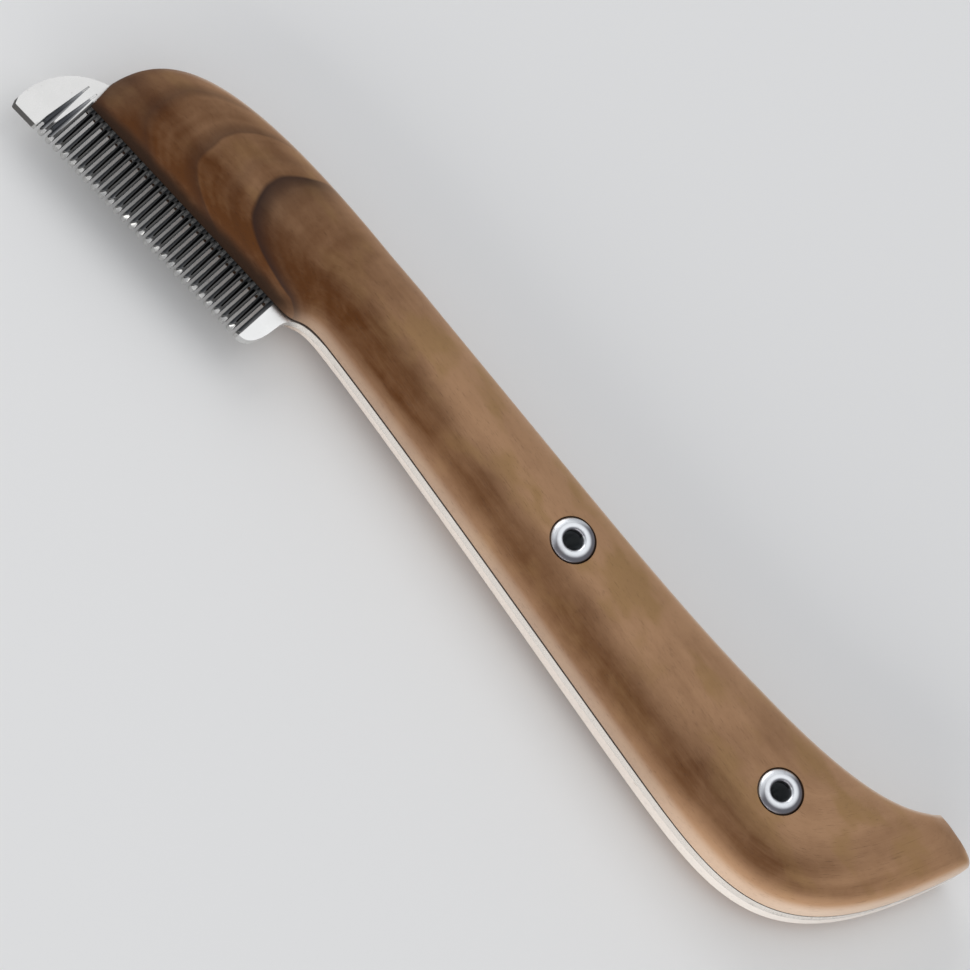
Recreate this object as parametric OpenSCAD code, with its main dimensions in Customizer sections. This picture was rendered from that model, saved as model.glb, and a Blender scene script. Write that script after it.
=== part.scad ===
// Hand-stripping comb knife: a toothed full-tang plate between two wooden scales.
// The knife lies flat on its rear scale. +X runs along the grip from the comb's toe to
// the butt, -Y is the side that the teeth point to, and +Z is up through the thickness.
// Outlines are worked out from the toe end of the comb's edge, then centred.

/* [Comb] */
// Number of teeth
tooth_count = 26; // [8:1:32]
// Distance between neighbouring teeth, along the grip
tooth_pitch = 1.545; // [1.3:0.005:2.2]
// Length of the teeth nearest the toe
tooth_len_toe = 7.85; // [6:0.05:10]
// Length of the teeth nearest the heel
tooth_len_heel = 7; // [5:0.1:9]
// Width of the open slot between two teeth
slot_w = 0.44; // [0.3:0.02:0.6]
// Lean of the teeth towards the heel
tooth_lean = 3.8; // [0:0.2:6]
// Width left on top of each tooth between two ground flutes
ridge_w = 0.24; // [0.2:0.02:0.5]
// Share of a flute's ground sides that its steep toe side takes
steep_share = 0.25; // [0.2:0.05:0.5]
// Depth of the ground flutes below the front face
flute_depth = 0.75; // [0.4:0.05:1]
// Width of the hollow cut into each tooth's root
hollow_w = 0.4; // [0.3:0.02:0.46]
// Width of that hollow where it ends, near the tip
hollow_tip_w = 0.14; // [0.1:0.02:0.2]
// Depth of the hollow below the front face
hollow_depth = 1.2; // [0.8:0.1:1.3]
// Angle between the comb's edge and the grip
edge_angle = 6.6; // [2:0.2:10]
// Length of the bevel ground across the tooth tips
tip_bevel_len = 1.1; // [0.6:0.1:1.6]
// Depth of the bevel ground across the tooth tips
tip_bevel_depth = 0.8; // [0.4:0.1:1]

/* [Blade] */
// Thickness of the plate
blade_t = 1.8; // [1.4:0.1:2.6]
// Width of the plain toe beside the first flute
toe_flat = 4.35; // [3:0.05:6]
// Radius of the blade's curved front end
toe_arc_r = 12.1; // [11:0.1:14]
// Height of that curve's foremost point above the comb's edge
toe_arc_rise = 2.5; // [1:0.1:4]
// How far the foremost point lies ahead of the comb's edge
toe_arc_lead = 0.5; // [0.3:0.1:1]
// Size of the corners cut off at both ends of the comb's edge
comb_corner = 0.5; // [0.3:0.1:0.8]
// Width of the heel behind the last flute
heel_w = 3.3; // [2.5:0.1:5]
// Length of the pointed tail of each flute ahead of the wood
tail_len = 8; // [6:0.1:8.5]
// Distance from the comb's edge to the start of those tails
tail_start = 2.2; // [1.6:0.1:3]

/* [Handle outline] */
// Distance from the foremost point of the blade to the wood
wood_setback = 6.7; // [5:0.1:8]
// How much further back the front of the wood is beside the comb than at the spine
front_lean = 0.7; // [0:0.1:1.2]
// Distance from the slots' ends to the edge of the wood
flute_to_wood = 0.3; // [0.1:0.05:0.8]
// How far the wood's neck begins ahead of the heel's back
neck_lead = 1.8; // [1:0.1:2.6]
// Length of the neck, from the comb's wood edge to the waist
neck_len = 8.5; // [7:0.1:12]
// Length of the grip from the wood's neck to the butt
grip_len = 123.5; // [105:0.5:140]
// Width of the grip at its waist, behind the comb
waist_w = 16.4; // [14:0.1:20]
// How far the head's shoulder lies ahead of the waist
shoulder_lead = 5; // [3:0.5:8]
// Length and rise of the nape behind the shoulder
nape_len = 7; // [5:0.5:10]
nape_rise = 0.3; // [0:0.05:0.6]
// Rise of the underside from the comb's wood edge to the waist
neck_rise = 2.2; // [1.5:0.1:3.5]
// Drop of the underside from the waist to the belly
belly_drop = 3.2; // [1.5:0.1:5]
// Distance from the belly's lowest point to the butt
belly_len = 32; // [26:0.5:38]
// Rise of the spine along the grip
spine_rise = 3.05; // [1.5:0.05:5]
// How far ahead of the belly the spine starts to sweep up
horn_lead = 8; // [4:0.5:14]
// Rise of the horn above the grip
horn_rise = 10.65; // [7:0.05:13]
// Width of the butt's end face
butt_w = 8.3; // [6:0.1:10]
// Width of the butt's rounded corner
butt_corner_w = 1.6; // [1:0.1:3]
// Drop of the butt's corner below the horn
butt_drop = 2.7; // [1.5:0.1:4]

/* [Scale section] */
// Thickness of each scale along the grip
scale_t = 5.5; // [4.5:0.1:7]
// Thickness of each scale beside the comb
head_t = 4.3; // [3:0.1:5]
// Thickness of each scale at its thin front end
front_t = 1.2; // [0.8:0.1:2]
// Height of the upright side wall at the waist
waist_wall = 0.6; // [0.5:0.1:1.5]
// Height of the upright side wall at the belly
belly_wall = 1.9; // [1:0.1:2.5]
// Greatest width of the rounded shoulder
shoulder_w = 7.5; // [4:0.1:10]
// Length of the thumb rest's rounded nose
nose_len = 16; // [10:0.5:22]
// Length over which the scale rounds down to the butt
butt_round = 4.5; // [2:0.1:7]
// Size of the eased corner where each scale meets the plate
edge_ease = 0.3; // [0.1:0.05:0.4]

/* [Rivets] */
// Diameter of the hole through each hollow rivet
rivet_bore_d = 3; // [2:0.1:3.6]
// Wall thickness of the rivet's tube
rivet_wall = 0.5; // [0.3:0.05:0.8]
// Diameter of the rivet's head
rivet_head_d = 7; // [6.4:0.1:8]
// Height of the domed head
rivet_head_h = 1.35; // [1:0.05:1.8]
// Thickness of the head at its rim
rivet_rim_h = 0.45; // [0.3:0.05:0.7]
// Clearance around the rivet's tube
tube_clear = 0.1; // [0.05:0.01:0.2]
// Clearance around the rivet's head
head_clear = 0.2; // [0.1:0.05:0.4]
// How far the front heads stand above the wood
front_proud = 0.25; // [0:0.05:0.4]
// How far the rear heads lie below the wood
rear_sunk = 0.25; // [0.1:0.05:0.5]
// Distance from the upper rivet to the butt
upper_rivet_back = 71.8; // [60:0.1:80]
// Height of the upper rivet above the waist
upper_rivet_up = 9.5; // [8:0.1:11]
// Distance from the lower rivet to the butt
lower_rivet_back = 25.3; // [20:0.1:32]
// Height of the lower rivet above the waist
lower_rivet_up = 10.9; // [8:0.1:13]

/* [Hidden] */
$fn = 48;
eps = 0.02;

steel = "#c9cbcc";
walnut = "#8a674a";
nickel = "#b4b8bd";

// Ground width on the steep and the shallow side of a slot, at the front face
flute_w = tooth_pitch - ridge_w;
steep_w = steep_share * (flute_w - slot_w);
shallow_w = flute_w - slot_w - steep_w;
// Depth at which those sides would meet, and how far beside the slot's middle
flute_apex = flute_depth * flute_w / (flute_w - slot_w);
flute_apex_x = steep_w * flute_apex / flute_depth - steep_w - slot_w / 2;
// How far the flutes run on under the wood
flute_under_wood = 0.5;
// Length of the slot in a flute that ends in a tail, and where that tail points
open_slot_len = tail_start + 0.22 * tail_len;
tail_x = 0.45;
// The hollow's straight side, and its end near the tip
hollow_side = slot_w / 2 + shallow_w + 0.05;
hollow_start = 1.9;
// Radius of a tooth's rounded tip, a little wider than the tooth that it ends
tip_over = 0.07;
tip_r = (tooth_pitch - slot_w) / 2 + tip_over;
// How far cutters reach past the faces that they cut
over = 0.5;

// Sections cut across each part of the handle
head_steps = 24;
neck_steps = 8;
grip_steps = 30;
belly_steps = 24;
corner_steps = 5;
shoulder_steps = 8;

// Levels through the thickness
tang_back = scale_t;
tang_front = tang_back + blade_t;

// A cubic curve through p[0] and p[3], drawn towards p[1] and p[2]
function bez(p, t) =
    pow(1 - t, 3) * p[0] + 3 * pow(1 - t, 2) * t * p[1]
    + 3 * (1 - t) * t * t * p[2] + pow(t, 3) * p[3];

// A straight blend from a to b, and a blend that starts and ends level
function mix(a, b, t) = a + (b - a) * t;
function clamp01(t) = min(max(t, 0), 1);
function smooth(t) = let (c = clamp01(t)) c * c * (3 - 2 * c);
// A quarter-round rise, steep at 0 and level at 1
function rounded(t) = sqrt(1 - pow(1 - clamp01(t), 2));

// The comb's edge, and the slots along it
function edge_y(x) = x * tan(edge_angle);
function slot_x(i) = toe_flat + tooth_pitch * i;
last_slot_x = slot_x(tooth_count);
first_slot_x = slot_x(0);
heel_front = last_slot_x + slot_w / 2;
heel_back = heel_front + heel_w;

// The line on which the slots end, and the wood's edge above it
function slot_end_y(x) =
    edge_y(x) + mix(tooth_len_toe, tooth_len_heel,
                    (x - first_slot_x) / (last_slot_x - first_slot_x));
function wood_edge_y(x) = slot_end_y(x) + flute_to_wood;

// The blade's curved front end
toe_arc_x = toe_arc_r - toe_arc_lead;
function toe_arc_pt(y) =
    [toe_arc_x - sqrt(toe_arc_r * toe_arc_r - pow(y - toe_arc_rise, 2)), y];
wood_front = wood_setback - toe_arc_lead;
wood_front_y = toe_arc_rise + sqrt(toe_arc_r * toe_arc_r - pow(toe_arc_x - wood_front, 2));

// Turning points of the handle's outline
neck = [heel_back - neck_lead, wood_edge_y(heel_back - neck_lead)];
waist = neck + [neck_len, neck_rise];
shoulder = [waist.x - shoulder_lead, waist.y + waist_w];
nape = shoulder + [nape_len, nape_rise];
butt_x = neck.x + grip_len;
belly = [butt_x - belly_len, waist.y - belly_drop];
horn_root = [belly.x - horn_lead, shoulder.y + spine_rise];
horn = [butt_x - butt_w, horn_root.y + horn_rise];
butt = [butt_x, horn.y - butt_drop];
butt_top = [butt_x - butt_corner_w, horn.y - 0.3 * butt_drop];

// Turns a pair of fractions into a step from a towards b
function part_way(a, b, f) = [f[0] * (b.x - a.x), f[1] * (b.y - a.y)];

// Underside of the wood, from its front end to the butt
neck_curve = [neck, neck + part_way(neck, waist, [0.45, 0.14]),
              waist - part_way(neck, waist, [0.76, 0]), waist];
under_curve = [waist, waist + part_way(waist, belly, [0.255, 0]),
               belly - part_way(waist, belly, [0.12, 0]), belly];
belly_curve = [belly, belly + part_way(belly, butt, [0.52, -0.005]),
               butt - part_way(belly, butt, [0.16, 0.9]), butt];
corner_curve = [butt, butt + part_way(butt, butt_top, [-0.19, 0.74]),
                butt_top - part_way(butt, butt_top, [0.75, 0.08]), butt_top];
under = concat(
    [for (i = [0:head_steps - 1])
        let (x = mix(wood_front + front_lean, neck.x, pow(i / head_steps, 1.5)))
        [x, wood_edge_y(x)]],
    [for (i = [0:neck_steps - 1]) bez(neck_curve, i / neck_steps)],
    [for (i = [0:grip_steps - 1]) bez(under_curve, i / grip_steps)],
    [for (i = [0:belly_steps - 1]) bez(belly_curve, sin(90 * i / belly_steps))],
    [for (i = [0:corner_steps]) bez(corner_curve, i / corner_steps)]);
last = len(under) - 1;

// Spine of the wood, with a point across from each point of the underside
head_root = [wood_front, wood_front_y];
head_curve = [head_root, head_root + part_way(head_root, shoulder, [0.02, 0.61]),
              shoulder - part_way(head_root, shoulder, [0.8, 0.03]), shoulder];
spine_curve = [nape, nape + part_way(nape, horn_root, [0.61, 0.44]),
               horn_root - part_way(nape, horn_root, [0.22, 0.67]), horn_root];
horn_curve = [horn_root, horn_root + part_way(horn_root, horn, [0.11, 0.05]),
              horn - part_way(horn_root, horn, [0.165, 0.81]), horn];
// The share of the horn's curve that lies ahead of the butt's corner
horn_share = 0.94;
spine = concat(
    [for (i = [0:head_steps - 1]) bez(head_curve, i / head_steps)],
    [for (i = [0:neck_steps - 1]) mix(shoulder, nape, i / neck_steps)],
    [for (i = [0:grip_steps - 1]) bez(spine_curve, i / grip_steps)],
    [for (i = [0:belly_steps - 1]) bez(horn_curve, horn_share * sin(90 * i / belly_steps))],
    [for (i = [0:corner_steps]) bez(horn_curve, mix(horn_share, 1, i / corner_steps))]);

// The plate below the wood: the heel's rounded nose, then the neck of the tang
heel_base = [heel_back - 0.8 * heel_w, edge_y(heel_back - 0.8 * heel_w)];
heel_top = [heel_back, wood_edge_y(heel_back) - 0.84 * heel_w];
heel_nose = [heel_base, heel_base + [0.6 * heel_w, 0],
             heel_top - [0, 0.6 * (heel_top.y - heel_base.y)], heel_top];
tang_neck = [heel_top + [0, 0.3 * heel_w], [heel_back, waist.y - 0.36 * neck_rise],
             waist - [0.41 * neck_len, 0.08 * neck_rise], waist];
tip_line = tip_r / cos(edge_angle);
blade_outline = concat(
    [[first_slot_x, edge_y(first_slot_x)], [comb_corner, edge_y(comb_corner)],
     [0, comb_corner / 3]],
    [for (i = [0:17]) toe_arc_pt(mix(2 * comb_corner, wood_front_y, i / 18))],
    spine,
    [for (i = [0:last - head_steps - neck_steps]) under[last - i]],
    [for (i = [1:11]) bez(tang_neck, 1 - i / 12)],
    [for (i = [0:10]) bez(heel_nose, 1 - i / 10)],
    [[heel_front, edge_y(heel_front) + comb_corner],
     [last_slot_x, edge_y(last_slot_x) + tip_line],
     [first_slot_x, edge_y(first_slot_x) + tip_line]]);

// Centre of the whole knife's box, which lies over the origin
all_x = [for (p = blade_outline) p.x];
all_y = [for (p = blade_outline) p.y];
centre = [(min(all_x) + max(all_x)) / 2, (min(all_y) + max(all_y)) / 2];

upper_rivet_at = [butt_x - upper_rivet_back, waist.y + upper_rivet_up];
lower_rivet_at = [butt_x - lower_rivet_back, waist.y + lower_rivet_up];

// Hole for a rivet's tube, and how deep each head's seat lies below the crown
tube_hole_d = rivet_bore_d + 2 * (rivet_wall + tube_clear);
front_seat = rivet_head_h - front_proud;
rear_seat = rivet_head_h + rear_sunk;

// Heights of a scale's crown and side wall above the plate, for the section at i
function mid(i) = (under[i] + spine[i]) / 2;
function crown(i) =
    let (x = mid(i).x - mid(0).x,
         nose = mix(front_t, head_t, rounded(x / nose_len)),
         body = mix(nose, scale_t, smooth((x - nose_len) / (waist.x - mid(0).x - nose_len))),
         to_butt = norm(mid(i) - mid(last)))
    mix(wall(i), body, rounded(to_butt / butt_round));
function wall(i) =
    let (x = under[i].x)
    x < waist.x ? mix(min(front_t, waist_wall), waist_wall, smooth(x / waist.x))
                : mix(waist_wall, belly_wall, smooth((x - waist.x) / (belly.x - waist.x)));

// One section across a scale, as points from the underside's foot round to the spine's foot
function section(i) =
    let (a = under[i], b = spine[i], w = norm(b - a), n = (b - a) / w,
         shoulder_here = min(shoulder_w, 0.42 * w), low = wall(i), top = crown(i),
         half = [for (k = [0:shoulder_steps])
             let (t = 1 - cos(90 * k / shoulder_steps))
             [shoulder_here * t, mix(low, top, rounded(t))]])
    concat(
        [[a.x + n.x * edge_ease, a.y + n.y * edge_ease, 0], [a.x, a.y, edge_ease]],
        [for (h = half) [a.x + n.x * h[0], a.y + n.y * h[0], h[1]]],
        [for (k = [shoulder_steps:-1:0])
            let (h = half[k]) [b.x - n.x * h[0], b.y - n.y * h[0], h[1]]],
        [[b.x, b.y, edge_ease], [b.x - n.x * edge_ease, b.y - n.y * edge_ease, 0]]);

// A solid skinned over the sections, lying on the plane z = 0
module scale_blank() {
    rings = [for (i = [0:last]) section(i)];
    n = len(rings[0]);
    polyhedron(
        points = [for (r = rings) each r],
        faces = concat(
            [for (i = [0:last - 1], j = [0:n - 1])
                let (k = (j + 1) % n) [i * n + j, i * n + k, (i + 1) * n + k]],
            [for (i = [0:last - 1], j = [0:n - 1])
                let (k = (j + 1) % n) [i * n + j, (i + 1) * n + k, (i + 1) * n + j]],
            [[for (j = [n - 1:-1:0]) j]],
            [[for (j = [0:n - 1]) last * n + j]]));
}

// A scale with its rivet holes, its plate side at z = 0
module drilled_scale(seat_depth) {
    difference() {
        scale_blank();
        for (at = [upper_rivet_at, lower_rivet_at])
            translate(at) {
                translate([0, 0, -over]) cylinder(d = tube_hole_d, h = scale_t + 2 * over);
                translate([0, 0, scale_t - seat_depth])
                    cylinder(d = rivet_head_d + 2 * head_clear, h = seat_depth + over);
            }
    }
}

// One slot with the flute ground over it, from its mouth at the origin up along +Y
module flute(len, is_open) {
    slot_len = is_open ? open_slot_len : len;
    translate([-slot_w / 2, -over, -over]) cube([slot_w, slot_len + over, blade_t + 2 * over]);
    translate([0, slot_len, -over]) cylinder(d = slot_w, h = blade_t + 2 * over);
    translate([0, 0, blade_t]) {
        flute_run(is_open ? tail_start : len + flute_to_wood + flute_under_wood);
        if (is_open) tail();
    }
}

// The ground sides of a flute, cut down from z = 0
module flute_run(len) {
    rise = 1 + over / flute_depth;
    translate([0, len, 0]) rotate([90, 0, 0]) linear_extrude(height = len + over)
        polygon([[-slot_w / 2, -flute_depth], [slot_w / 2, -flute_depth],
                 [slot_w / 2 + shallow_w * rise, over], [-slot_w / 2 - steep_w * rise, over]]);
}

// Pointed tail that rises out of the front face ahead of the wood
module tail() {
    grow = eps / flute_apex;
    polyhedron(
        points = [[-slot_w / 2 - steep_w * (1 + grow), tail_start - eps, eps],
                  [slot_w / 2 + shallow_w * (1 + grow), tail_start - eps, eps],
                  [flute_apex_x, tail_start - eps, -flute_apex],
                  [tail_x, tail_start + tail_len * (1 + grow), eps]],
        faces = [[0, 1, 2], [0, 3, 1], [1, 3, 2], [2, 3, 0]]);
}

// The hollow in a tooth's root, beside the flute whose mouth is at the origin
module hollow(len) {
    round_y = len - hollow_w / 2;
    translate([0, 0, blade_t - hollow_depth]) {
        linear_extrude(height = hollow_depth + over)
            polygon([[hollow_side, round_y], [hollow_side - hollow_w, round_y],
                     [hollow_side - hollow_tip_w, hollow_start], [hollow_side, hollow_start]]);
        translate([hollow_side - hollow_w / 2, round_y, 0])
            cylinder(d = hollow_w, h = hollow_depth + over);
    }
}

module blade() {
    color(steel) translate([-centre.x, -centre.y, tang_back])
        difference() {
            union() {
                linear_extrude(height = blade_t) polygon(blade_outline);
                // Rounded tips of the teeth
                for (i = [0:tooth_count - 1])
                    let (x = slot_x(i + 0.5))
                        translate([x, edge_y(x) + tip_line, 0]) cylinder(r = tip_r, h = blade_t);
            }
            for (i = [0:tooth_count])
                let (x = slot_x(i), is_open = x < wood_front, len = slot_end_y(x) - edge_y(x))
                translate([x, edge_y(x), 0]) rotate([0, 0, tooth_lean]) {
                    flute(len, is_open);
                    if (!is_open && i < tooth_count) hollow(len);
                }
            tip_bevel();
            for (at = [upper_rivet_at, lower_rivet_at])
                translate([at.x, at.y, -over]) cylinder(d = tube_hole_d, h = blade_t + 2 * over);
        }
}

// Bevel ground across the front of the tooth tips, parallel to the comb's edge
module tip_bevel() {
    fall = tip_bevel_depth / tip_bevel_len;
    translate([first_slot_x, edge_y(first_slot_x), blade_t])
        rotate([0, 0, edge_angle]) rotate([90, 0, 90])
            linear_extrude(height = (last_slot_x - first_slot_x) / cos(edge_angle))
                polygon([[tip_bevel_len + over / fall, over], [-over, over],
                         [-over, -tip_bevel_depth - over * fall]]);
}

module front_scale() {
    color(walnut) translate([-centre.x, -centre.y, tang_front]) drilled_scale(front_seat);
}

module rear_scale() {
    color(walnut) translate([-centre.x, -centre.y, tang_back]) mirror([0, 0, 1]) drilled_scale(rear_seat);
}

// One end of a rivet's profile: a domed ring from the tube's outside over to its bore,
// with its seat at z = 0
function head_profile() =
    let (bore_r = rivet_bore_d / 2, head_r = rivet_head_d / 2, crest_r = bore_r + rivet_wall,
         dome_w = head_r - crest_r, dome_h = rivet_head_h - rivet_rim_h)
    concat(
        [[crest_r, 0], [head_r, 0]],
        [for (a = [0:15:90]) [crest_r + dome_w * cos(a), rivet_rim_h + dome_h * sin(a)]],
        [for (a = [30:30:90])
            [bore_r + rivet_wall * (1 - sin(a)), rivet_head_h - rivet_wall * (1 - cos(a))]]);

module rivet(at) {
    bottom = tang_back - scale_t + rear_seat;
    top = tang_front + scale_t - front_seat;
    ends = head_profile();
    color(nickel) translate([at.x - centre.x, at.y - centre.y, 0])
        rotate_extrude($fn = 64)
            polygon(concat(
                [for (p = ends) [p[0], top + p[1]]],
                [for (k = [len(ends) - 1:-1:0]) [ends[k][0], bottom - ends[k][1]]]));
}

module upper_rivet() { rivet(upper_rivet_at); }

module lower_rivet() { rivet(lower_rivet_at); }

blade();
front_scale();
rear_scale();
upper_rivet();
lower_rivet();
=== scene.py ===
"""Hand-stripping comb knife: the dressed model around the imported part.

The knife lies flat on its rear scale. +X runs along the grip from the comb's toe to the
butt, -Y is the side that the teeth point to, and +Z is up. Sizes in the classes are in
millimetres, and meshes are made in metres.
"""

import logging
import math
from dataclasses import dataclass, field
from enum import Enum
from typing import Callable, Iterable, Sequence

import bmesh
import bpy
from mathutils import Matrix, Vector
from mathutils.kdtree import KDTree


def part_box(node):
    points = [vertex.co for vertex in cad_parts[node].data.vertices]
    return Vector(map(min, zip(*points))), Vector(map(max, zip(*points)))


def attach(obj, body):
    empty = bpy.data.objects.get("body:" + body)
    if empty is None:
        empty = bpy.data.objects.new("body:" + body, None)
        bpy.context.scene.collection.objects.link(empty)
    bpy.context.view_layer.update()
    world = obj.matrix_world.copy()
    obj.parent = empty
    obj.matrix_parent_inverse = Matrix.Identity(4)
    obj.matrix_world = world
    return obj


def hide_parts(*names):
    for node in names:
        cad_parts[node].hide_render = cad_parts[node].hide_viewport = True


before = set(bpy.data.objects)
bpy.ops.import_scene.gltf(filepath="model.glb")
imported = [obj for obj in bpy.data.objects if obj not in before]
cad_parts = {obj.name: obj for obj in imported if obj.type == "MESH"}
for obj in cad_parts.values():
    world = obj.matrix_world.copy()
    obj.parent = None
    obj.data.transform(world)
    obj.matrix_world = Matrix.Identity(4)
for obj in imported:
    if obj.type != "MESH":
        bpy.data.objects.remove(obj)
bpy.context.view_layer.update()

LOG = logging.getLogger("comb_knife")
MM = 0.001
MM_PER_M = 1000
BODY = "root"
FROM_UNDERSIDE = "from_underside"
FROM_SPINE = "from_spine"
FROM_RIVET = "from_rivet"

Point = tuple[float, float]
Span = tuple[float, float]
Colour = tuple[float, float, float]
Stops = Sequence[tuple[float, float]]
Placer = Callable[[float, float, float], Vector]
Solid = tuple[list[Vector], list[list[int]]]


class Face(Enum):
    """Which face of the plate a wooden scale lies on."""

    FRONT = 1
    REAR = -1


class MathOp(Enum):
    """Math node operations that the shader expressions use."""

    ADD = "ADD"
    SUB = "SUBTRACT"
    MUL = "MULTIPLY"
    DIV = "DIVIDE"
    POW = "POWER"
    MAX = "MAXIMUM"
    MIN = "MINIMUM"
    FRACT = "FRACT"
    ABS = "ABSOLUTE"


# ---------------------------------------------------------------- shader expressions


class Sock:
    """A shader value that adds Math nodes when it is used in an expression."""

    def __init__(self, graph: "Graph", link: bpy.types.NodeSocket) -> None:
        """Wraps an output socket.

        Args:
            graph: the graph that the socket belongs to.
            link: the output socket.
        """
        self.graph = graph
        self.link = link

    def _math(self, op: MathOp, *values: "Sock | float") -> "Sock":
        """Adds one Math node.

        Args:
            op: the operation.
            values: its inputs, in order.

        Returns:
            The node's value.
        """
        return self.graph.node("ShaderNodeMath", {"operation": op.value}, dict(enumerate(values)))

    def __add__(self, other: "Sock | float") -> "Sock":
        """Adds a value."""
        return self._math(MathOp.ADD, self, other)

    __radd__ = __add__

    def __mul__(self, other: "Sock | float") -> "Sock":
        """Multiplies by a value."""
        return self._math(MathOp.MUL, self, other)

    __rmul__ = __mul__

    def __sub__(self, other: "Sock | float") -> "Sock":
        """Subtracts a value."""
        return self._math(MathOp.SUB, self, other)

    def __rsub__(self, other: float) -> "Sock":
        """Subtracts this from a number."""
        return self._math(MathOp.SUB, other, self)

    def __truediv__(self, other: "Sock | float") -> "Sock":
        """Divides by a value."""
        return self._math(MathOp.DIV, self, other)

    def __pow__(self, other: float) -> "Sock":
        """Raises to a power."""
        return self._math(MathOp.POW, self, other)

    def __abs__(self) -> "Sock":
        """Gives the size without its sign."""
        return self._math(MathOp.ABS, self)

    def fract(self) -> "Sock":
        """Gives what is left over from the whole number below."""
        return self._math(MathOp.FRACT, self)

    def most(self, other: "Sock | float") -> "Sock":
        """Gives the larger of two values."""
        return self._math(MathOp.MAX, self, other)

    def least(self, other: "Sock | float") -> "Sock":
        """Gives the smaller of two values."""
        return self._math(MathOp.MIN, self, other)

    def ramp(self, start: float, end: float) -> "Sock":
        """Maps start..end to 0..1, level at both ends and held beyond them.

        Args:
            start: the value that gives 0.
            end: the value that gives 1.

        Returns:
            The mapped value.
        """
        rise = self.graph.node(
            "ShaderNodeMapRange",
            {"interpolation_type": "SMOOTHSTEP", "clamp": True},
            {0: self, 1: min(start, end), 2: max(start, end), 3: 0.0, 4: 1.0},
        )
        return rise if start < end else 1 - rise


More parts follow.
